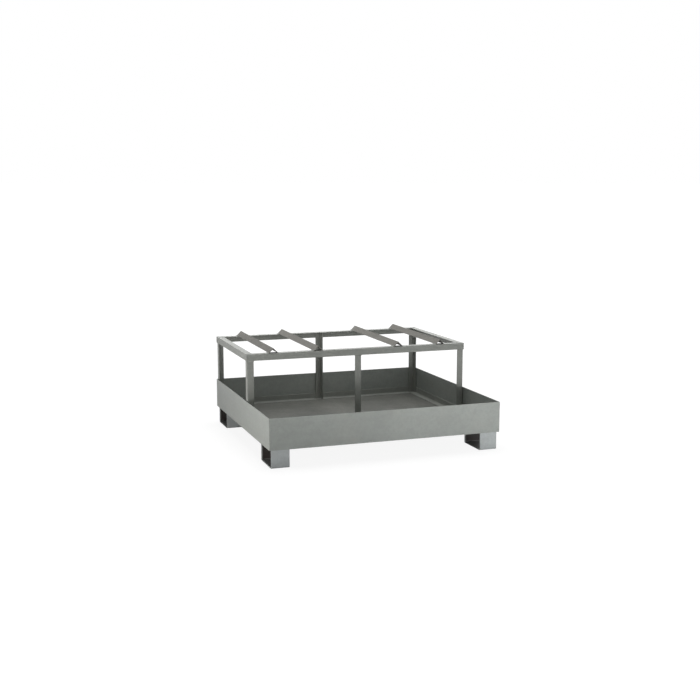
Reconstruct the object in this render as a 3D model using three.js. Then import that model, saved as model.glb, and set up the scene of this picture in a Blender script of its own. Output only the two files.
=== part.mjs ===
// Spill containment pallet: an open steel sump on four channel feet, with a
// welded angle-iron rack standing inside it that cradles two drums on their
// sides. Millimetres. The origin is on the ground under the middle of the sump,
// +X to the right, +Y to the back, +Z up.

import * as THREE from 'three';

// Sump: a flat floor inside four plain upright walls.
const SUMP_WIDTH = 1346;
const SUMP_DEPTH = 1245;
const WALL_HEIGHT = 172;
const PLATE = 3;

// Feet: short U channels bent from plate, open at their ends along X.
const FOOT_LENGTH = 102;
const FOOT_DEPTH = 203;
const FOOT_HEIGHT = 102;
const FOOT_PLATE = 4.75;
const FOOT_BEND_RADIUS = 9.5;
const FOOT_INSET = 12.5;
const BEND_SEGMENTS = 6;

// Rack: angle iron, its outer faces just inside the sump walls.
const LEG = 38;
const LEG_THICKNESS = 3.25;
const RACK_SIDE_GAP = 1;
const RACK_BACK_GAP = 3;
const RACK_DEPTH = 762;
const RACK_TOP = 543;
const MID_POST_RIGHT_FACE = 15;

// Cradle rails: angle iron with its corner up, in two pairs.
const CRADLE_CENTRE = 380;
const CRADLE_HALF_SPACING = 133;
const CRADLE_END_INSET = 2;
const CRADLE_SEAT_GAP = 0.25;

// Worked out from the sizes above.
const SUMP_BOTTOM = FOOT_HEIGHT;
const FLOOR_TOP = SUMP_BOTTOM + PLATE;
const SUMP_INNER_WIDTH = SUMP_WIDTH - 2 * PLATE;
const SUMP_INNER_DEPTH = SUMP_DEPTH - 2 * PLATE;
const RACK_WIDTH = SUMP_INNER_WIDTH - 2 * RACK_SIDE_GAP;
const RACK_BACK = SUMP_INNER_DEPTH / 2 - RACK_BACK_GAP;
const RACK_FRONT = RACK_BACK - RACK_DEPTH;
const RACK_MIDDLE_Y = (RACK_FRONT + RACK_BACK) / 2;
const POST_BOTTOM = FLOOR_TOP + LEG_THICKNESS;
const POST_TOP = RACK_TOP - LEG_THICKNESS;

const X_AXIS = new THREE.Vector3(1, 0, 0);
const Y_AXIS = new THREE.Vector3(0, 1, 0);
const Z_AXIS = new THREE.Vector3(0, 0, 1);
const QUARTER_TURN = Math.PI / 2;

// Painted steel. The sump, its feet and the rack differ a little in shade.
function paintedSteel(color, roughness) {
  return new THREE.MeshStandardMaterial({ color, roughness, metalness: 0.1 });
}

const sumpPaint = paintedSteel(0x949a94, 0.5);
const floorPaint = paintedSteel(0x7c817b, 0.55);
const footPaint = paintedSteel(0x969c9a, 0.5);
const rackPaint = paintedSteel(0x7f857f, 0.5);
const cradlePaint = paintedSteel(0x7a7d77, 0.5);

function addMesh(parent, name, geometry, material) {
  const mesh = new THREE.Mesh(geometry, material.clone());
  mesh.name = name;
  parent.add(mesh);
  return mesh;
}

// A flat plate of the given size with its lowest face at z.
function addPlate(parent, name, size, x, y, z, material) {
  const [width, depth, height] = size;
  const geometry = new THREE.BoxGeometry(width, depth, height);
  addMesh(parent, name, geometry, material).position.set(x, y, z + height / 2);
}

function buildSump() {
  const sump = new THREE.Group();
  const wallX = (SUMP_WIDTH - PLATE) / 2;
  const wallY = (SUMP_DEPTH - PLATE) / 2;
  const longWall = [SUMP_WIDTH, PLATE, WALL_HEIGHT];
  const sideWall = [PLATE, SUMP_INNER_DEPTH, WALL_HEIGHT];
  const floor = [SUMP_INNER_WIDTH, SUMP_INNER_DEPTH, PLATE];
  addPlate(sump, 'sump_floor', floor, 0, 0, SUMP_BOTTOM, floorPaint);
  addPlate(sump, 'front_wall', longWall, 0, -wallY, SUMP_BOTTOM, sumpPaint);
  addPlate(sump, 'back_wall', longWall, 0, wallY, SUMP_BOTTOM, sumpPaint);
  addPlate(sump, 'left_wall', sideWall, -wallX, 0, SUMP_BOTTOM, sumpPaint);
  addPlate(sump, 'right_wall', sideWall, wallX, 0, SUMP_BOTTOM, sumpPaint);
  return sump;
}

// Outline of a U seen along its length, both upper ends open, bends rounded.
function channelShape() {
  const outer = FOOT_BEND_RADIUS;
  const inner = FOOT_BEND_RADIUS - FOOT_PLATE;
  const shape = new THREE.Shape();
  shape.moveTo(0, FOOT_HEIGHT);
  shape.lineTo(0, outer);
  shape.absarc(outer, outer, outer, Math.PI, 1.5 * Math.PI, false);
  shape.lineTo(FOOT_DEPTH - outer, 0);
  shape.absarc(FOOT_DEPTH - outer, outer, outer, 1.5 * Math.PI, 2 * Math.PI, false);
  shape.lineTo(FOOT_DEPTH, FOOT_HEIGHT);
  shape.lineTo(FOOT_DEPTH - FOOT_PLATE, FOOT_HEIGHT);
  shape.lineTo(FOOT_DEPTH - FOOT_PLATE, outer);
  shape.absarc(FOOT_DEPTH - outer, outer, inner, 2 * Math.PI, 1.5 * Math.PI, true);
  shape.lineTo(outer, FOOT_PLATE);
  shape.absarc(outer, outer, inner, 1.5 * Math.PI, Math.PI, true);
  shape.lineTo(FOOT_PLATE, FOOT_HEIGHT);
  return shape;
}

function buildFeet() {
  const feet = new THREE.Group();
  const settings = { depth: FOOT_LENGTH, bevelEnabled: false, curveSegments: BEND_SEGMENTS };
  const alongX = new THREE.Matrix4().makeBasis(Y_AXIS, Z_AXIS, X_AXIS);
  const farX = SUMP_WIDTH / 2 - FOOT_INSET;
  const farY = SUMP_DEPTH / 2 - FOOT_INSET;
  const columns = [['left', -farX], ['right', farX - FOOT_LENGTH]];
  const rows = [['front', -farY], ['back', farY - FOOT_DEPTH]];
  for (const [row, y] of rows) {
    for (const [column, x] of columns) {
      const geometry = new THREE.ExtrudeGeometry(channelShape(), settings);
      geometry.applyMatrix4(alongX);
      addMesh(feet, `foot_${row}_${column}`, geometry, footPaint).position.set(x, y, 0);
    }
  }
  return feet;
}

// Outline of an angle with its outer corner at the origin and its legs along
// +X and +Y.
function angleShape() {
  const shape = new THREE.Shape();
  shape.moveTo(0, 0);
  shape.lineTo(LEG, 0);
  shape.lineTo(LEG, LEG_THICKNESS);
  shape.lineTo(LEG_THICKNESS, LEG_THICKNESS);
  shape.lineTo(LEG_THICKNESS, LEG);
  shape.lineTo(0, LEG);
  return shape;
}

function angleBar(length) {
  return new THREE.ExtrudeGeometry(angleShape(), { depth: length, bevelEnabled: false });
}

// An angle along X with both ends mitred at 45 degrees and its outer corner on
// y = 0, z = 0. Its flat leg points inwards along +Y, and its upright leg rises
// from the corner where direction is 1 and hangs from it where direction is -1.
function mitredAngle(outerLength, direction) {
  const outline = [
    [0, 0],
    [LEG, 0],
    [LEG, direction * LEG_THICKNESS],
    [LEG_THICKNESS, direction * LEG_THICKNESS],
    [LEG_THICKNESS, direction * LEG],
    [0, direction * LEG],
  ];
  const half = outerLength / 2;
  const positions = [];
  for (const side of [-1, 1]) {
    for (const [inward, up] of outline) {
      positions.push(side * (half - inward), inward, up);
    }
  }
  const count = outline.length;
  const index = [];
  const addTriangle = (a, b, c) => {
    index.push(...(direction > 0 ? [a, b, c] : [a, c, b]));
  };
  for (let i = 0; i < count; i++) {
    const next = (i + 1) % count;
    addTriangle(i, next, count + next);
    addTriangle(i, count + next, count + i);
  }
  const capTriangles = [[0, 1, 2], [0, 2, 3], [0, 3, 4], [0, 4, 5]];
  for (const [a, b, c] of capTriangles) {
    addTriangle(a, c, b);
    addTriangle(count + a, count + b, count + c);
  }
  const geometry = new THREE.BufferGeometry();
  geometry.setAttribute('position', new THREE.Float32BufferAttribute(positions, 3));
  geometry.setIndex(index);
  geometry.computeVertexNormals();
  return geometry;
}

// Four mitred rails round the rack's footprint, with their outer corner at z.
function buildRailFrame(prefix, z, direction) {
  const frame = new THREE.Group();
  const halfWidth = RACK_WIDTH / 2;
  const sides = [
    ['front', RACK_WIDTH, 0, RACK_FRONT, 0],
    ['right', RACK_DEPTH, halfWidth, RACK_MIDDLE_Y, 1],
    ['back', RACK_WIDTH, 0, RACK_BACK, 2],
    ['left', RACK_DEPTH, -halfWidth, RACK_MIDDLE_Y, 3],
  ];
  for (const [side, length, x, y, quarterTurns] of sides) {
    const geometry = mitredAngle(length, direction);
    const rail = addMesh(frame, `${prefix}_${side}`, geometry, rackPaint);
    rail.rotation.z = quarterTurns * QUARTER_TURN;
    rail.position.set(x, y, z);
  }
  return frame;
}

// Upright angles nested inside the rails. The number says how many quarter
// turns bring the legs from +X and +Y to where they point.
function buildPosts() {
  const posts = new THREE.Group();
  const right = RACK_WIDTH / 2 - LEG_THICKNESS;
  const front = RACK_FRONT + LEG_THICKNESS;
  const back = RACK_BACK - LEG_THICKNESS;
  const places = [
    ['front_left', -right, front, 0],
    ['front_middle', MID_POST_RIGHT_FACE, front, 1],
    ['front_right', right, front, 1],
    ['back_left', -right, back, 3],
    ['back_middle', MID_POST_RIGHT_FACE, back, 2],
    ['back_right', right, back, 2],
  ];
  for (const [place, x, y, quarterTurns] of places) {
    const post = addMesh(posts, `post_${place}`, angleBar(POST_TOP - POST_BOTTOM), rackPaint);
    post.rotation.z = quarterTurns * QUARTER_TURN;
    post.position.set(x, y, POST_BOTTOM);
  }
  return posts;
}

// Angles lying front to back with their corner up and the toes of both legs on
// the top frame, two for each drum.
function buildCradleRails() {
  const rails = new THREE.Group();
  const length = RACK_DEPTH - 2 * CRADLE_END_INSET;
  const cornerAboveToes = (LEG + LEG_THICKNESS) * Math.SQRT1_2;
  const cornerZ = RACK_TOP + CRADLE_SEAT_GAP + cornerAboveToes;
  const alongY = new THREE.Matrix4().makeBasis(X_AXIS, Z_AXIS, Y_AXIS.clone().negate());
  const drums = [['left', -CRADLE_CENTRE], ['right', CRADLE_CENTRE]];
  const sides = [['outer', 1], ['inner', -1]];
  for (const [drum, centre] of drums) {
    for (const [side, outwards] of sides) {
      const geometry = angleBar(length);
      geometry.rotateZ(-1.5 * QUARTER_TURN);
      geometry.applyMatrix4(alongY);
      const rail = addMesh(rails, `cradle_${drum}_${side}`, geometry, cradlePaint);
      const x = centre + outwards * Math.sign(centre) * CRADLE_HALF_SPACING;
      rail.position.set(x, RACK_BACK - CRADLE_END_INSET, cornerZ);
    }
  }
  return rails;
}

const group = new THREE.Group();
group.add(buildSump());
group.add(buildFeet());
group.add(buildRailFrame('top_rail', RACK_TOP, -1));
group.add(buildRailFrame('base_rail', FLOOR_TOP, 1));
group.add(buildPosts());
group.add(buildCradleRails());

export default group;
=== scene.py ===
import math

import bmesh
import bpy
from mathutils import Matrix, Vector


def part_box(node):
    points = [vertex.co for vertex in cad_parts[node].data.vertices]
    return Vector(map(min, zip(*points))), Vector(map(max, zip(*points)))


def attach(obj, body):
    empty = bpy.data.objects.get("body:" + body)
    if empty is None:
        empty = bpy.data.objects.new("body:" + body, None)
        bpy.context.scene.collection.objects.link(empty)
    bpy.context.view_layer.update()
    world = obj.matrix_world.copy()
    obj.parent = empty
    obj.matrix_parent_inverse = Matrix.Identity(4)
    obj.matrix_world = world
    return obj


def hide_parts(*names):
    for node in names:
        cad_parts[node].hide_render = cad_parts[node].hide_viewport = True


# A spill containment pallet: a steel sump on four channel feet, and the
# angle-iron drum rack that stands in it. Metres, +X right, +Y back, +Z up.

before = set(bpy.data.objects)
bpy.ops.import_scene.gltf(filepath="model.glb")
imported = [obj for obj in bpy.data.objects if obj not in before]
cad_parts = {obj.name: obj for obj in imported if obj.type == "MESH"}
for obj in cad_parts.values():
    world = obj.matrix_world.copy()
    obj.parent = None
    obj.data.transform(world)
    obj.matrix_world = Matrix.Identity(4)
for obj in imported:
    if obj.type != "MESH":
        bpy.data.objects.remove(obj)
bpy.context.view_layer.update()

X, Y, Z = Vector((1, 0, 0)), Vector((0, 1, 0)), Vector((0, 0, 1))
MM = 0.001

# Sizes read from the CAD nodes
sump_low, sump_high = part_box("sump_floor")
front_low, front_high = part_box("front_wall")
back_low, back_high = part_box("back_wall")
left_low, left_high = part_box("left_wall")
right_low, right_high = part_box("right_wall")
post_low, post_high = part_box("post_front_left")
rack_low, rack_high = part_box("top_rail_front")[0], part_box("top_rail_back")[1]
base_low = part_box("base_rail_front")[0]
cradle_low, cradle_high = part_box("cradle_left_outer")
foot_low, foot_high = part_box("foot_front_left")

PLATE = front_high.y - front_low.y
LEG = post_high.x - post_low.x
LEG_THICKNESS = rack_high.z - post_high.z
FLOOR_TOP = sump_high.z
RIM = front_high.z

CORNERS = {
    "front_left": (-1, -1),
    "front_right": (1, -1),
    "back_left": (-1, 1),
    "back_right": (1, 1),
}
POSTS = (
    "front_left", "front_middle", "front_right",
    "back_left", "back_middle", "back_right",
)
CRADLES = ("left_outer", "left_inner", "right_inner", "right_outer")

# Shapes that the CAD leaves out
PLATE_EDGE = 0.6 * MM
HEEL_RADIUS = 0.9 * MM
ROOT_RADIUS = 5 * MM
TOE_RADIUS = 2.2 * MM
TIP_RADIUS = 0.5 * MM
SAW_EDGE = 0.3 * MM
FOOT_PLATE = 4.75 * MM
FOOT_OUTER_BEND = 9.5 * MM
FOOT_BEND_STEPS = 12
RIPPLE_PITCH = 4.5 * MM
RIPPLE_SLANT = math.radians(38)
RIPPLE = ((0.32, 1.15), (0.26, 1.03), (0.42, 1 / 1.15 / 1.03))
BEAD_SIDES = 12
BEAD_DOME = 0.6
SMOOTH_ANGLE = math.radians(32)
TINY = 0.005 * MM

# Weld beads: width across the joint, and height
CORNER_BEAD = (4.2 * MM, 4.2 * MM)
SEAM_BEAD = (6 * MM, 4.4 * MM)
FOOT_BEAD = (6 * MM, 3.6 * MM)
POST_BEAD = (7 * MM, 5 * MM)
MITRE_BEAD = (6 * MM, 5.6 * MM)
LOW_MITRE_BEAD = (4.4 * MM, 3.8 * MM)
TOP_MITRE_BEAD = (7 * MM, 3.4 * MM)
TOE_BEAD = (7 * MM, 5 * MM)

# How far beads stop short of a corner, or stand off or sink into it
CORNER_STOP = 3 * MM
CORNER_OUT = 0.5 * MM
SEAM_STOP = 2 * MM
SEAM_OUT = 0.4 * MM
SEAM_TO_RACK = 8 * MM
FOOT_STOP = 3 * MM
MITRE_SINK = 1.6 * MM
TOP_MITRE_STOP = 2 * MM
TOP_MITRE_SINK = 0.6 * MM
TOE_STOP = 2 * MM
TOE_OUT = 0.8 * MM


# ---------------------------------------------------------------- modelling

def make_active(piece):
    bpy.ops.object.select_all(action="DESELECT")
    piece.select_set(True)
    bpy.context.view_layer.objects.active = piece


def settle(piece):
    """Puts the piece's place into its mesh, so that its object sits at the origin."""
    make_active(piece)
    bpy.ops.object.transform_apply(location=True, rotation=True, scale=True)
    return piece


def block(name, low, high):
    """A box between two corners."""
    bpy.ops.object.select_all(action="DESELECT")
    bpy.ops.mesh.primitive_cube_add(size=1, location=(low + high) / 2)
    piece = bpy.context.object
    piece.name = piece.data.name = name
    piece.scale = high - low
    return settle(piece)


def open_mesh(piece):
    make_active(piece)
    bpy.ops.object.mode_set(mode="EDIT")
    bpy.ops.mesh.select_mode(type="EDGE")
    bpy.ops.mesh.select_all(action="SELECT")


def close_mesh():
    bpy.ops.object.mode_set(mode="OBJECT")


def pick_faces(piece, test):
    """Selects the faces whose middle and normal pass the test."""
    bpy.ops.mesh.select_mode(type="FACE")
    bpy.ops.mesh.select_all(action="DESELECT")
    mesh = bmesh.from_edit_mesh(piece.data)
    for face in mesh.faces:
        face.select_set(test(face.calc_center_median(), face.normal))
    bmesh.update_edit_mesh(piece.data)


def pick_edges(piece, test):
    """Selects the edges whose middle and direction pass the test."""
    bpy.ops.mesh.select_mode(type="EDGE")
    bpy.ops.mesh.select_all(action="DESELECT")
    mesh = bmesh.from_edit_mesh(piece.data)
    for edge in mesh.edges:
        start, end = (vertex.co for vertex in edge.verts)
        edge.select_set(test((start + end) / 2, (end - start).normalized()))
    bmesh.update_edit_mesh(piece.data)


def bevel(width, steps):
    bpy.ops.mesh.bevel(
        offset=width, offset_type="OFFSET", segments=steps, profile=0.5, affect="EDGES"
    )


def merge_flats():
    """Joins the faces that lie in one plane."""
    bpy.ops.mesh.select_all(action="SELECT")
    bpy.ops.mesh.dissolve_limited(angle_limit=math.radians(0.5))


def near(value, target):
    return abs(value - target) < 0.01 * MM


def runs_along(direction, axis):
    return abs(direction.dot(axis)) > 0.999


def apply_modifier(piece, modifier):
    make_active(piece)
    bpy.ops.object.modifier_apply(modifier=modifier.name)


def smooth(piece):
    """Smooth bends between flat faces that stay flat."""
    make_active(piece)
    bpy.ops.object.shade_smooth_by_angle(angle=SMOOTH_ANGLE)
    weighted = piece.modifiers.new("weighted", "WEIGHTED_NORMAL")
    weighted.keep_sharp = True
    apply_modifier(piece, weighted)
    return piece


def copy_of(piece, name):
    made = piece.copy()
    made.data = piece.data.copy()
    made.name = made.data.name = name
    bpy.context.scene.collection.objects.link(made)
    return made


def place(piece, origin, x_axis, y_axis):
    """Moves a piece modelled at the origin so that its X and Y point this way."""
    z_axis = x_axis.cross(y_axis)
    turn = Matrix((x_axis, y_axis, z_axis)).transposed().to_4x4()
    piece.matrix_world = Matrix.Translation(origin) @ turn
    return settle(piece)


def join(pieces, name):
    make_active(pieces[0])
    for piece in pieces[1:]:
        piece.select_set(True)
    if len(pieces) > 1:
        bpy.ops.object.join()
    pieces[0].name = pieces[0].data.name = name
    return pieces[0]


def drop(piece):
    bpy.data.objects.remove(piece)


def finish_piece(piece, body, slot, finish, *nodes):
    """Gives a piece its paint and its body, and hides the CAD nodes it stands for."""
    piece.data.materials.clear()
    piece.data.materials.append(finish.material)
    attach(piece, body)
    if nodes:
        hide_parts(*nodes)


# ---------------------------------------------------------------- materials

class Value:
    """A number that varies over a surface. Sums on it add Math nodes."""

    def __init__(self, finish, socket):
        self.finish = finish
        self.socket = socket

    def _math(self, operation, first, second):
        sockets = {0: first, 1: second}
        node = self.finish.node("ShaderNodeMath", {"operation": operation}, sockets)
        return Value(self.finish, node.outputs[0])

    def __add__(self, other):
        return self._math("ADD", self, other)

    def __radd__(self, other):
        return self._math("ADD", other, self)

    def __sub__(self, other):
        return self._math("SUBTRACT", self, other)

    def __rsub__(self, other):
        return self._math("SUBTRACT", other, self)

    def __mul__(self, other):
        return self._math("MULTIPLY", self, other)

    def __rmul__(self, other):
        return self._math("MULTIPLY", other, self)

    def __abs__(self):
        return self._math("ABSOLUTE", self, 0)


class Nodes:
    """A node tree, emptied first."""

    def __init__(self, tree):
        self.tree = tree
        self.tree.nodes.clear()

    def node(self, kind, settings, sockets):
        """Adds a node, sets its settings, then fills or links its sockets."""
        made = self.tree.nodes.new(kind)
        for key, setting in settings.items():
            setattr(made, key, setting)
        for key, value in sockets.items():
            if isinstance(value, Value):
                value = value.socket
            if isinstance(value, bpy.types.NodeSocket):
                self.tree.links.new(value, made.inputs[key])
            else:
                made.inputs[key].default_value = value
        return made


class Finish(Nodes):
    """One material, built from nodes that read Object coordinates."""

    def __init__(self, name):
        self.material = bpy.data.materials.new(name)
        self.material.use_nodes = True
        super().__init__(self.material.node_tree)
        self.place = self.node("ShaderNodeTexCoord", {}, {}).outputs["Object"]

    def stretched(self, grain):
        """Object coordinates scaled unevenly, so that a pattern runs one way."""
        sockets = {"Vector": self.place, "Scale": grain}
        return self.node("ShaderNodeMapping", {}, sockets).outputs[0]

    def noise(self, scale, detail=3.0, roughness=0.55, place=None):
        sockets = {
            "Vector": place or self.place,
            "Scale": scale,
            "Detail": detail,
            "Roughness": roughness,
        }
        return Value(self, self.node("ShaderNodeTexNoise", {}, sockets).outputs[0])

    def ramp(self, value, low, high):
        """0 below low, 1 above high, and smooth between."""
        sockets = {"Value": value, "From Min": low, "From Max": high}
        settings = {"interpolation_type": "SMOOTHSTEP"}
        return Value(self, self.node("ShaderNodeMapRange", settings, sockets).outputs[0])

    def mix(self, share, first, second):
        """A colour between two others."""
        sockets = {0: share, 6: first, 7: second}
        return self.node("ShaderNodeMix", {"data_type": "RGBA"}, sockets).outputs[2]

    def edges(self, radius):
        """Near 1 along sharp outer and inner edges and 0 on flat faces."""
        rounded = self.node("ShaderNodeBevel", {"samples": 6}, {"Radius": radius})
        flat = self.node("ShaderNodeNewGeometry", {}, {})
        sockets = {0: rounded.outputs[0], 1: flat.outputs["Normal"]}
        likeness = self.node("ShaderNodeVectorMath", {"operation": "DOT_PRODUCT"}, sockets)
        return 1 - Value(self, likeness.outputs["Value"])

    def bump(self, height, strength, distance, under=None):
        sockets = {"Height": height, "Strength": strength, "Distance": distance}
        if under:
            sockets["Normal"] = under
        return self.node("ShaderNodeBump", {}, sockets).outputs[0]

    def surface(self, sockets):
        shader = self.node("ShaderNodeBsdfPrincipled", {}, sockets)
        self.node("ShaderNodeOutputMaterial", {}, {"Surface": shader.outputs[0]})


# Each enamel's tint, and how light it is
WALL_TINT, WALL_LEVEL, SIDE_WALL_LEVEL, WELD_LEVEL = (0.935, 1, 0.935), 0.35, 0.355, 0.32
# The floor's enamel is set far below the walls': painted shade over the whole floor
FLOOR_TINT, SHADED_FLOOR_LEVEL = (0.97, 1, 0.89), 0.110
FOOT_TINT, FOOT_LEVEL = (0.94, 1, 1), 0.52
RACK_TINT, RACK_LEVEL, RACK_WELD_LEVEL = (0.955, 1, 0.915), 0.27, 0.26
# The cradle rails' level sits well below the rack's: painted shade, as of drums lying on them.
# Their warm tint is their own
CRADLE_TINT, SHADED_CRADLE_LEVEL = (1.04, 1, 0.89), 0.165
WORN_STEEL = (0.33, 0.30, 0.27, 1)
DUST = (0.40, 0.39, 0.35, 1)
# Near-black brown painted into the insides of the feet's channels as shade
CHANNEL_SHADE_BROWN = (0.024, 0.015, 0.012, 1)

# Noise scales of the enamel, from its broad clouds to its orange peel
CLOUDS, FILM, MOTTLE, PORES, CHIPS, ORANGE_PEEL = 2.2, 5.5, 15, 70, 110, 380
WEAR_REACH = 2 * MM
SCRATCH_SIZE = (0.16, 0.0016, 0.1)
SCRATCH_WAYS = (0.45, -0.9)
SCRATCH_TILT = 0.3
SAWN_END = 0.4 * MM
# How far the painted shade in the channels fades out from the web and from the open ends
SHADE_FADE = 6 * MM


def shade(tint, level):
    return tuple(level * share for share in tint) + (1,)


class Paint(Finish):
    """Satin grey enamel on mill-finish steel. The grain stretches its streaks
    along the member, wear brings bare metal to the edges, scuffs are fine
    scratches, and grime clouds the flats."""

    def __init__(
        self, name, tint, level, grain,
        wear=0.4, scuffs=0.2, grime=0.2, roughness=0.46, shine=0.5, contrast=0.09,
    ):
        super().__init__(name)
        self.clouds = self.noise(CLOUDS, 4.0, 0.6)
        self.mottle = self.noise(MOTTLE, 5.0, 0.62)
        self.streaks = self.noise(1.0, 4.0, 0.6, self.stretched(grain))
        self.peel = self.noise(ORANGE_PEEL, 2.0, 0.5)
        tone = 0.50 * self.clouds + 0.30 * self.mottle + 0.20 * self.streaks
        tone = self.ramp(tone, 0.36, 0.64)
        self.pores = self.noise(PORES, 6.0, 0.68)
        dark, light = level * (1 - contrast), level * (1 + contrast)
        self.colour = self.mix(tone, shade(tint, dark), shade(tint, light))
        speck = 0.40 * self.ramp(self.pores, 0.35, 0.68)
        self.colour = self.mix(speck, self.colour, shade(tint, level * 0.76))
        film = self.noise(FILM, 9.0, 0.74, self.stretched((1, 0.45, 1)))
        self.dusty = self.ramp(film, 0.46, 0.72) * grime
        self.colour = self.mix(self.dusty, self.colour, DUST)
        one_way, other_way = (self.scratches(angle) for angle in SCRATCH_WAYS)
        patches = self.ramp(self.clouds, 0.42, 0.60)
        self.scuffed = (one_way + other_way) * patches * scuffs
        self.colour = self.mix(self.scuffed, self.colour, shade(tint, level * 1.6))
        self.worn = 0.0
        if wear:
            edge = self.ramp(self.edges(WEAR_REACH), 0.04, 0.30)
            chips = self.ramp(self.noise(CHIPS, 4.0, 0.7), 0.50, 0.64)
            self.worn = edge * chips * wear
            self.colour = self.mix(edge * (0.30 * wear), self.colour, shade(tint, level * 1.3))
            self.colour = self.mix(self.worn, self.colour, WORN_STEEL)
        self.roughness = roughness
        self.shine = shine

    def scratches(self, angle):
        """Thin, short, straight lines lying roughly one way."""
        sockets = {
            "Vector": self.place,
            "Rotation": (angle, SCRATCH_TILT, angle),
            "Scale": SCRATCH_SIZE,
        }
        turned = self.node("ShaderNodeMapping", {"vector_type": "TEXTURE"}, sockets)
        return self.ramp(self.noise(1.0, 1.0, 0.4, turned.outputs[0]), 0.70, 0.78)

    def done(self):
        gloss = self.roughness + 0.14 * (self.mottle - 0.5) + 0.16 * (self.pores - 0.5)
        gloss = gloss + 0.10 * self.dusty + 0.06 * self.scuffed
        height = 0.40 * self.peel + 0.40 * self.pores + 0.20 * self.streaks
        sheet = self.bump(self.clouds, 0.6, 5 * MM)
        self.surface({
            "Base Color": self.colour,
            "Roughness": gloss,
            "Metallic": 0.5 * self.worn,
            "Normal": self.bump(height, 0.5, 0.7 * MM, sheet),
            "Specular IOR Level": self.shine,
        })
        return self


ALONG_X, ALONG_Y, ALONG_Z = (0.7, 26, 26), (26, 0.7, 26), (26, 26, 0.7)
ROLLED, EVEN = (1.1, 8, 8), (8, 8, 8)
ON_BEADS = {"wear": 0, "scuffs": 0, "roughness": 0.42}
wall_finish_x = Paint("wall_enamel_x", WALL_TINT, WALL_LEVEL, ALONG_X).done()
wall_finish_y = Paint("wall_enamel_y", WALL_TINT, SIDE_WALL_LEVEL, ALONG_Y).done()
floor_finish = Paint(
    "floor_enamel_shaded", FLOOR_TINT, SHADED_FLOOR_LEVEL, ROLLED,
    wear=0.2, scuffs=0.5, grime=0.12, roughness=0.58, shine=0.35, contrast=0.24,
).done()
foot_finish = Paint("foot_enamel", FOOT_TINT, FOOT_LEVEL, ALONG_X, wear=0.5, shine=0.35)
rack_finish_x = Paint("rack_enamel_x", RACK_TINT, RACK_LEVEL, ALONG_X).done()
rack_finish_y = Paint("rack_enamel_y", RACK_TINT, RACK_LEVEL, ALONG_Y).done()
rack_finish_z = Paint("rack_enamel_z", RACK_TINT, RACK_LEVEL, ALONG_Z).done()
cradle_finish = Paint(
    "cradle_enamel_shaded", CRADLE_TINT, SHADED_CRADLE_LEVEL, ALONG_Y,
    wear=0.9, scuffs=0.7, grime=0.15, roughness=0.56, shine=0.35, contrast=0.14,
).done()
weld_finish = Paint("weld_enamel", WALL_TINT, WELD_LEVEL, EVEN, **ON_BEADS).done()
rack_weld_finish = Paint(
    "rack_weld_enamel", RACK_TINT, RACK_WELD_LEVEL, EVEN, **ON_BEADS
).done()


def darken_foot_insides(paint):
    """Paints shade into the insides of the channels: a near-black brown that lifts just above
    the web and towards the open ends, where light gets in.
    """
    axes = paint.node("ShaderNodeSeparateXYZ", {}, {0: paint.place})
    x, y, height = (Value(paint, axis) for axis in axes.outputs)
    across, along = abs(y), abs(x)
    outer_y, inner_y = -foot_low.y, -foot_high.y
    outer_x, inner_x = -foot_low.x, -foot_high.x
    skin, depth = FOOT_PLATE * 0.5, FOOT_PLATE * 0.7
    past_inner_flange = paint.ramp(across, inner_y + skin, inner_y + depth)
    past_outer_flange = paint.ramp(across, outer_y - depth, outer_y - skin)
    above = paint.ramp(height, skin, depth)
    reach = SHADE_FADE + 10 * MM * paint.mottle
    past_inner_end = paint.ramp(along, inner_x + SAWN_END, inner_x + reach)
    past_outer_end = paint.ramp(along, outer_x - reach, outer_x - SAWN_END)
    between = past_inner_flange * (1 - past_outer_flange)
    inside = between * above * past_inner_end * (1 - past_outer_end)
    # Painted light: the shade lifts just above the web, and a little at random
    lit_share = (1 - paint.ramp(height, FOOT_PLATE, FOOT_PLATE + SHADE_FADE)) * 0.35
    lit_share = lit_share + 0.10 * paint.mottle
    paint.colour = paint.mix(inside * (1 - lit_share), paint.colour, CHANNEL_SHADE_BROWN)
    return paint.done()


# -------------------------------------------------------------- weld beads

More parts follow.
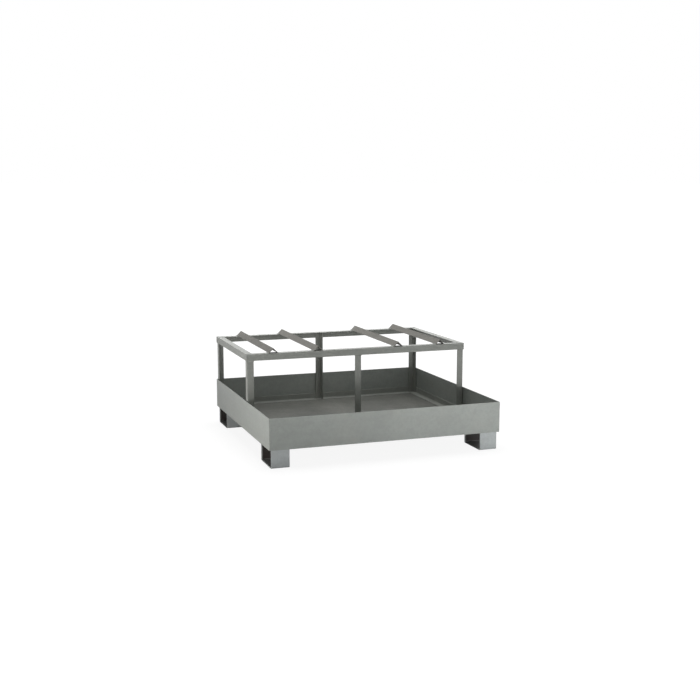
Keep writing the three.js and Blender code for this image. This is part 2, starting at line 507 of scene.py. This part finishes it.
def weld_bead(name, length, width, height):
    """A bead along +Z with its crown towards +Y: one ripple of slanted rings,
    repeated, with domed ends."""
    count = max(3, round(length / RIPPLE_PITCH))
    pitch = length / count
    bpy.ops.object.select_all(action="DESELECT")
    bpy.ops.mesh.primitive_circle_add(
        vertices=BEAD_SIDES, radius=width / 2, rotation=(RIPPLE_SLANT, 0, 0)
    )
    bead = bpy.context.object
    bead.name = bead.data.name = name
    bead.scale = (1, height / width / math.cos(RIPPLE_SLANT), height / width)
    settle(bead)
    open_mesh(bead)
    level = 0.0
    for share, swell in RIPPLE:
        step = share * pitch
        bpy.ops.mesh.extrude_region_move(TRANSFORM_OT_translate={"value": (0, 0, step)})
        level += step
        bpy.ops.transform.resize(value=(swell, swell, 1), center_override=(0, 0, level))
    close_mesh()
    ripples = bead.modifiers.new("ripples", "ARRAY")
    ripples.use_relative_offset = False
    ripples.use_constant_offset = True
    ripples.constant_offset_displace = (0, 0, pitch)
    ripples.count = count
    ripples.use_merge_vertices = True
    ripples.merge_threshold = 4 * TINY
    apply_modifier(bead, ripples)
    open_mesh(bead)
    bpy.ops.mesh.fill_holes(sides=0)
    bpy.ops.mesh.normals_make_consistent(inside=False)
    for end, side in ((0, -1), (length, 1)):
        pick_faces(bead, lambda middle, normal: (
            abs(middle.z - end) < pitch and abs(normal.z) > 0.7))
        bpy.ops.mesh.extrude_region_move(
            TRANSFORM_OT_translate={"value": (0, 0, side * pitch / 4)}
        )
        bpy.ops.transform.resize(value=(BEAD_DOME,) * 3, center_override=(0, 0, end))
    close_mesh()
    make_active(bead)
    bpy.ops.object.shade_smooth()
    return bead


def weld(start, end, outward, width, height):
    """A bead from start to end whose crown faces outward."""
    along = (end - start).normalized()
    outward = outward.normalized()
    bead = weld_bead("bead", (end - start).length, width, height)
    return place(bead, start, outward.cross(along), outward)


# --------------------------------------------------------------------- sump

def flat_plate(name, low, high):
    """A sheared plate with its edges just broken."""
    piece = block(name, low, high)
    open_mesh(piece)
    bevel(PLATE_EDGE, 2)
    close_mesh()
    return smooth(piece)


def build_sump():
    """Five plates. The corners are open joints that the corner welds fill, so
    the front and back plates stop short of them."""
    inset = Vector((PLATE, 0, 0))
    plates = (
        ("front_plate", front_low + inset, front_high - inset, wall_finish_x, "front_wall"),
        ("back_plate", back_low + inset, back_high - inset, wall_finish_x, "back_wall"),
        ("left_plate", left_low, left_high, wall_finish_y, "left_wall"),
        ("right_plate", right_low, right_high, wall_finish_y, "right_wall"),
        ("floor_plate", sump_low, sump_high, floor_finish, "sump_floor"),
    )
    for name, low, high, finish, node in plates:
        slot = "sump_floor_paint" if node == "sump_floor" else "sump_wall_paint"
        finish_piece(flat_plate(name, low, high), "sump", slot, finish, node)


def build_sump_welds():
    """Corner beads outside, and a fillet round the floor inside the front bay."""
    inner_x = right_low.x
    inner_y = back_low.y
    bottom = front_low.z
    for name, (side_x, side_y) in CORNERS.items():
        outward = Vector((side_x, side_y, 0))
        corner = Vector((side_x * inner_x, side_y * inner_y, 0)) + outward * CORNER_OUT
        foot = corner + Z * (bottom + CORNER_STOP)
        top = corner + Z * (RIM - CORNER_STOP)
        bead = weld(foot, top, outward, *CORNER_BEAD)
        bead.name = bead.data.name = "corner_weld_" + name
        finish_piece(bead, "sump", "sump_wall_paint", weld_finish)
    bay_back = rack_low.y - SEAM_TO_RACK
    front_y = front_high.y
    left = Vector((-inner_x, front_y, FLOOR_TOP))
    right = Vector((inner_x, front_y, FLOOR_TOP))
    seams = (
        (left, right, Y + Z),
        (left, Vector((-inner_x, bay_back, FLOOR_TOP)), X + Z),
        (right, Vector((inner_x, bay_back, FLOOR_TOP)), Z - X),
        (left, Vector((-inner_x, front_y, RIM)), X + Y),
        (right, Vector((inner_x, front_y, RIM)), Y - X),
    )
    beads = []
    for start, end, outward in seams:
        short = (end - start).normalized() * SEAM_STOP
        lift = outward.normalized() * SEAM_OUT
        beads.append(weld(start + short + lift, end - short + lift, outward, *SEAM_BEAD))
    seam = join(beads, "bay_seam_weld")
    finish_piece(seam, "sump", "sump_floor_paint", weld_finish)


def build_foot(name, low, high):
    """A U channel: a flat web with two flanges drawn up from its ends."""
    web_top = low.z + FOOT_PLATE
    front, back = low.y + FOOT_PLATE, high.y - FOOT_PLATE
    web = block(name, low, Vector((high.x, high.y, web_top)))
    open_mesh(web)
    for cut in (front, back):
        bpy.ops.mesh.select_all(action="SELECT")
        bpy.ops.mesh.bisect(plane_co=(0, cut, 0), plane_no=Y)
    pick_faces(web, lambda middle, normal: normal.z > 0.9 and not front < middle.y < back)
    rise = (0, 0, high.z - web_top)
    bpy.ops.mesh.extrude_region_move(TRANSFORM_OT_translate={"value": rise})
    merge_flats()
    pick_edges(web, lambda middle, way: runs_along(way, X) and near(middle.z, low.z) and (
        near(middle.y, low.y) or near(middle.y, high.y)))
    bevel(FOOT_OUTER_BEND, FOOT_BEND_STEPS)
    pick_edges(web, lambda middle, way: runs_along(way, X) and near(middle.z, web_top))
    bevel(FOOT_OUTER_BEND - FOOT_PLATE, FOOT_BEND_STEPS)
    pick_faces(web, lambda middle, normal: abs(normal.x) > 0.99)
    bpy.ops.mesh.region_to_loop()
    bevel(SAW_EDGE, 2)
    bpy.ops.mesh.select_all(action="SELECT")
    bpy.ops.mesh.dissolve_degenerate(threshold=TINY)
    close_mesh()
    return smooth(web)


def build_feet():
    darken_foot_insides(foot_finish)
    for place_name in CORNERS:
        node = "foot_" + place_name
        low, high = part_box(node)
        foot = build_foot("channel_" + place_name, low, high)
        finish_piece(foot, "sump", "foot_paint", foot_finish, node)
        runs = []
        for y, outward in ((low.y, -Y), (high.y, Y)):
            start = Vector((low.x + FOOT_STOP, y, high.z))
            end = Vector((high.x - FOOT_STOP, y, high.z))
            runs.append(weld(start, end, outward - Z, *FOOT_BEAD))
        bead = join(runs, "foot_weld_" + place_name)
        finish_piece(bead, "sump", "foot_paint", weld_finish)


# --------------------------------------------------------------------- rack

def rolled_angle(name, length, sawn_ends):
    """Hot-rolled angle along +Z with its heel on the Z axis and its legs along
    +X and +Y: a square heel, a filleted root and rounded toes."""
    bar = block(name, Vector((0, 0, 0)), Vector((LEG, LEG_THICKNESS, length)))
    open_mesh(bar)
    bpy.ops.mesh.bisect(plane_co=(LEG_THICKNESS, 0, 0), plane_no=X)
    pick_faces(bar, lambda middle, normal: normal.y > 0.9 and middle.x < LEG_THICKNESS)
    rise = (0, LEG - LEG_THICKNESS, 0)
    bpy.ops.mesh.extrude_region_move(TRANSFORM_OT_translate={"value": rise})
    merge_flats()
    roundings = (
        ((LEG_THICKNESS, LEG_THICKNESS), ROOT_RADIUS, 6),
        ((LEG, LEG_THICKNESS), TOE_RADIUS, 4),
        ((LEG_THICKNESS, LEG), TOE_RADIUS, 4),
        ((LEG, 0), TIP_RADIUS, 1),
        ((0, LEG), TIP_RADIUS, 1),
        ((0, 0), HEEL_RADIUS, 3),
    )
    for (x, y), radius, steps in roundings:
        pick_edges(bar, lambda middle, way: runs_along(way, Z) and (
            near(middle.x, x) and near(middle.y, y)))
        bevel(radius, steps)
    if sawn_ends:
        pick_faces(bar, lambda middle, normal: abs(normal.z) > 0.99)
        bpy.ops.mesh.region_to_loop()
        bevel(SAW_EDGE, 1)
    close_mesh()
    return bar


def mitred_angle(name, length):
    """The same angle with both ends cut at 45 degrees, long on its heel."""
    bar = rolled_angle(name, length, False)
    open_mesh(bar)
    cuts = ((0, (1, 0, -1)), (length, (1, 0, 1)))
    for level, away in cuts:
        bpy.ops.mesh.select_all(action="SELECT")
        bpy.ops.mesh.bisect(
            plane_co=(0, 0, level), plane_no=away, use_fill=True, clear_outer=True
        )
    close_mesh()
    return smooth(bar)


def build_rail_frames():
    corners = {
        "front_left": Vector((rack_low.x, rack_low.y, 0)),
        "front_right": Vector((rack_high.x, rack_low.y, 0)),
        "back_left": Vector((rack_low.x, rack_high.y, 0)),
        "back_right": Vector((rack_high.x, rack_high.y, 0)),
    }
    wide = mitred_angle("wide_rail", rack_high.x - rack_low.x)
    deep = mitred_angle("deep_rail", rack_high.y - rack_low.y)
    sides = (
        ("front", wide, Y, "front_right", "front_left", rack_finish_x),
        ("right", deep, -X, "back_right", "front_right", rack_finish_y),
        ("back", wide, -Y, "back_left", "back_right", rack_finish_x),
        ("left", deep, X, "front_left", "back_left", rack_finish_y),
    )
    for side, pattern, inward, top_corner, base_corner, finish in sides:
        top = copy_of(pattern, "top_angle_" + side)
        place(top, corners[top_corner] + Z * rack_high.z, inward, -Z)
        finish_piece(top, "rack", "rack_paint", finish, "top_rail_" + side)
        base = copy_of(pattern, "base_angle_" + side)
        place(base, corners[base_corner] + Z * base_low.z, inward, Z)
        finish_piece(base, "rack", "rack_paint", finish, "base_rail_" + side)
    drop(wide)
    drop(deep)


def build_posts():
    """Uprights nested inside the rails, heels outwards. The legs are the two
    directions that a post's legs point in from its heel."""
    pattern = smooth(rolled_angle("post", post_high.z - post_low.z, True))
    legs = {
        "front_left": (X, Y),
        "front_middle": (Y, -X),
        "front_right": (Y, -X),
        "back_left": (-Y, X),
        "back_middle": (-X, -Y),
        "back_right": (-X, -Y),
    }
    for name, (first, second) in legs.items():
        low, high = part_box("post_" + name)
        towards = first + second
        heel = Vector((
            low.x if towards.x > 0 else high.x,
            low.y if towards.y > 0 else high.y,
            low.z,
        ))
        post = copy_of(pattern, "upright_" + name)
        place(post, heel, first, second)
        finish_piece(post, "rack", "rack_paint", rack_finish_z, "post_" + name)
    drop(pattern)


def build_cradles():
    """Angles lying front to back, heel up."""
    pattern = smooth(rolled_angle("cradle", cradle_high.y - cradle_low.y, True))
    first = Vector((-1, 0, -1)).normalized()
    second = Vector((1, 0, -1)).normalized()
    for name in CRADLES:
        low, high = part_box("cradle_" + name)
        heel = Vector(((low.x + high.x) / 2, high.y, high.z))
        rail = copy_of(pattern, "drum_rail_" + name)
        place(rail, heel, first, second)
        finish_piece(rail, "rack", "cradle_paint", cradle_finish, "cradle_" + name)
    drop(pattern)


def build_rack_welds():
    """Fillets where posts meet the rails' toes, seams down the mitred corners,
    and short beads along the toes of the cradle rails."""
    top_toe = rack_high.z - LEG
    base_toe = base_low.z + LEG
    for name in POSTS:
        low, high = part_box("post_" + name)
        face_y, away_y = (low.y, -Y) if "front" in name else (high.y, Y)
        faces = [(Vector((low.x, face_y, 0)), Vector((high.x, face_y, 0)), away_y)]
        if "left" in name:
            faces.append((Vector((low.x, low.y, 0)), Vector((low.x, high.y, 0)), -X))
        if "right" in name:
            faces.append((Vector((high.x, low.y, 0)), Vector((high.x, high.y, 0)), X))
        beads = []
        for start, end, outward in faces:
            for toe, way in ((top_toe, -Z), (base_toe, Z)):
                beads.append(weld(start + Z * toe, end + Z * toe, outward + way, *POST_BEAD))
        bead = join(beads, "post_weld_" + name)
        finish_piece(bead, "rack", "rack_paint", rack_weld_finish)
    mitres = []
    for side_x, x in ((-1, rack_low.x), (1, rack_high.x)):
        for side_y, y in ((-1, rack_low.y), (1, rack_high.y)):
            outward = Vector((side_x, side_y, 0))
            corner = Vector((x, y, 0)) - outward * MITRE_SINK
            upper = corner + Z * top_toe, corner + Z * (rack_high.z - TOP_MITRE_STOP)
            lower = corner + Z * (base_low.z + MM), corner + Z * base_toe
            mitres.append(weld(*upper, outward, *MITRE_BEAD))
            mitres.append(weld(*lower, outward, *LOW_MITRE_BEAD))
            start = Vector((x, y, rack_high.z - TOP_MITRE_SINK)) - outward * TOP_MITRE_STOP
            end = start - outward * (LEG - 2 * TOP_MITRE_STOP)
            mitres.append(weld(start, end, Z, *TOP_MITRE_BEAD))
    finish_piece(join(mitres, "mitre_welds"), "rack", "rack_paint", rack_weld_finish)
    toes = []
    seat = rack_high.z
    for name in CRADLES:
        low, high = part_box("cradle_" + name)
        runs = (
            (low.y + TOE_STOP, rack_low.y + LEG),
            (rack_high.y - LEG, high.y - TOE_STOP),
        )
        for x, side in ((low.x, -1), (high.x, 1)):
            for near_y, far_y in runs:
                start = Vector((x + side * TOE_OUT, near_y, seat + TOE_OUT))
                end = Vector((start.x, far_y, start.z))
                toes.append(weld(start, end, Vector((side, 0, 1)), *TOE_BEAD))
    finish_piece(join(toes, "cradle_welds"), "rack", "cradle_paint", rack_weld_finish)


# -------------------------------------------------------------------- stage

WHITE = (1, 1, 1, 1)
PAPER = (0.86, 0.86, 0.86, 1)
SKY_TINT = (0.96, 0.98, 1, 1)
WARM, NEUTRAL = (1.0, 0.96, 0.93), (1, 1, 1)
FLOOR_RADIUS = 400
FLOOR_DROP = 0.5 * MM
FLOOR_FADE = (1.0, 3.2)
FLOOR_GLOW = 0.82
HORIZON_GLOW = 1.1
WORLD_FILL = 0.075
LENS = 56.27
SENSOR = 36
FAR_CLIP = 1000
CAMERA_PLACE = (-2.141, -6.040, 1.509)
CAMERA_DIP, CAMERA_TURN = math.radians(8.83), math.radians(-19.49)

# Name, place, target, width and height, watts and tint of each softbox
LIGHTS = (
    ("overhead", (0.2, 0.7, 4.4), (0.1, 0.2, 0), (3.2, 3.2), 148, NEUTRAL),
    ("left_strip", (-1.55, -0.50, 0.12), (-0.67, -0.5, 0.13), (0.9, 0.2), 4.6, WARM),
    ("front_strip", (0.75, -1.75, 0.09), (0.35, -0.62, 0.11), (1.8, 0.2), 4.6, NEUTRAL),
    ("front_high", (0.8, -4.6, 2.6), (0, 0, 0.3), (2.0, 2.0), 12, NEUTRAL),
    ("post_strip", (0.95, -2.3, 0.42), (0.3, 0.0, 0.36), (1.6, 0.16), 4.4, NEUTRAL),
    ("back_panel", (1.6, 6.0, 1.2), (0, 0, 0.4), (6.0, 2.4), 85, NEUTRAL),
    ("right_strip", (3.0, 1.6, 0.4), (0.67, 0.2, 0.15), (1.6, 0.5), 14, NEUTRAL),
)


def build_floor():
    """A pale floor that goes over to plain white with distance."""
    bpy.ops.object.select_all(action="DESELECT")
    bpy.ops.mesh.primitive_circle_add(
        vertices=96, radius=FLOOR_RADIUS, fill_type="NGON", location=(0, 0, -FLOOR_DROP)
    )
    floor = bpy.context.object
    floor.name = "studio_floor"
    finish = Finish("pale_floor")
    paper = finish.node("ShaderNodeBsdfDiffuse", {}, {"Color": PAPER})
    glow = finish.node("ShaderNodeEmission", {}, {"Color": WHITE, "Strength": HORIZON_GLOW})
    reach = finish.node("ShaderNodeVectorMath", {"operation": "LENGTH"}, {0: finish.place})
    far = finish.ramp(Value(finish, reach.outputs["Value"]), *FLOOR_FADE)
    path = finish.node("ShaderNodeLightPath", {}, {})
    near_glow = FLOOR_GLOW * Value(finish, path.outputs["Is Camera Ray"])
    share = near_glow + (1 - near_glow) * far
    sockets = {0: share, 1: paper.outputs[0], 2: glow.outputs[0]}
    mixed = finish.node("ShaderNodeMixShader", {}, sockets)
    finish.node("ShaderNodeOutputMaterial", {}, {"Surface": mixed.outputs[0]})
    floor.data.materials.append(finish.material)


def build_world():
    """White to the camera and in reflections, and a dim fill on the object."""
    world = bpy.data.worlds.new("studio")
    bpy.context.scene.world = world
    world.use_nodes = True
    sky = Nodes(world.node_tree)
    path = sky.node("ShaderNodeLightPath", {}, {}).outputs
    seen = sky.node("ShaderNodeBackground", {}, {"Color": WHITE})
    fill = sky.node("ShaderNodeBackground", {}, {"Color": SKY_TINT, "Strength": WORLD_FILL})
    rays = {0: path["Is Camera Ray"], 1: path["Is Glossy Ray"]}
    either = sky.node("ShaderNodeMath", {"operation": "MAXIMUM"}, rays)
    sockets = {0: either.outputs[0], 1: fill.outputs[0], 2: seen.outputs[0]}
    chosen = sky.node("ShaderNodeMixShader", {}, sockets)
    sky.node("ShaderNodeOutputWorld", {}, {0: chosen.outputs[0]})


def softbox(name, location, target, size, power, tint):
    light = bpy.data.lights.new(name, "AREA")
    light.shape = "RECTANGLE"
    light.size, light.size_y = size
    light.energy = power
    light.color = tint
    lamp = bpy.data.objects.new(name, light)
    bpy.context.scene.collection.objects.link(lamp)
    lamp.location = location
    way = Vector(target) - Vector(location)
    lamp.rotation_euler = way.to_track_quat("-Z", "Y").to_euler()
    lamp.visible_camera = False


def build_camera():
    camera_data = bpy.data.cameras.new("camera")
    camera_data.lens = LENS
    camera_data.sensor_width = SENSOR
    camera_data.clip_end = FAR_CLIP
    camera = bpy.data.objects.new("camera", camera_data)
    bpy.context.scene.collection.objects.link(camera)
    camera.location = CAMERA_PLACE
    camera.rotation_euler = (math.pi / 2 - CAMERA_DIP, 0, CAMERA_TURN)
    bpy.context.scene.camera = camera


build_camera()
build_sump()
build_sump_welds()
build_feet()
build_rail_frames()
build_posts()
build_cradles()
build_rack_welds()
build_floor()
build_world()
for light_row in LIGHTS:
    softbox(*light_row)
bpy.context.scene.view_settings.view_transform = "Standard"
